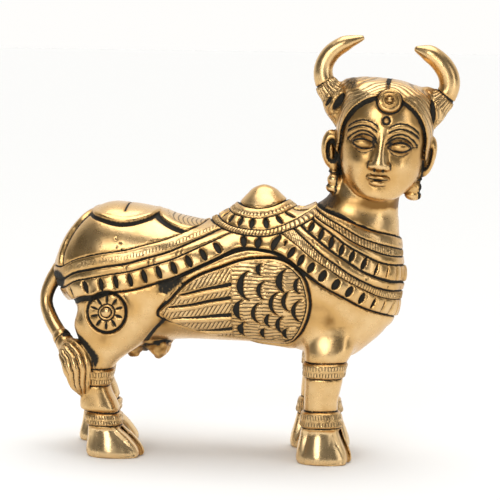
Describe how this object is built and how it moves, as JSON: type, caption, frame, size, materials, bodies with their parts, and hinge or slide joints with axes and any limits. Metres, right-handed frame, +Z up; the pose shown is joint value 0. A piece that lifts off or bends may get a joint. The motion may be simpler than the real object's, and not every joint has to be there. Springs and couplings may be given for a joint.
{
  "type": "kamdhenu cow statue",
  "caption": "Standing cast brass cow with a calm human face turned to its right, crescent horns, hump, folded wings and chased saddle cloth, collars, rosettes and anklets",
  "frame": {"origin": "on the floor, under the middle of the whole figure's bounding box", "axes": "+X is the way the cow's body faces, +Z is up, -Y is the cow's right side, to which its face is turned"},
  "size_m": [0.1461, 0.0464, 0.1473],
  "materials": {
    "brass": "cast, chased and hand-polished, dark old patina in the recesses"
  },
  "bodies": {
    "root": {"cow_statue": "brass"}
  },
  "joints": []
}
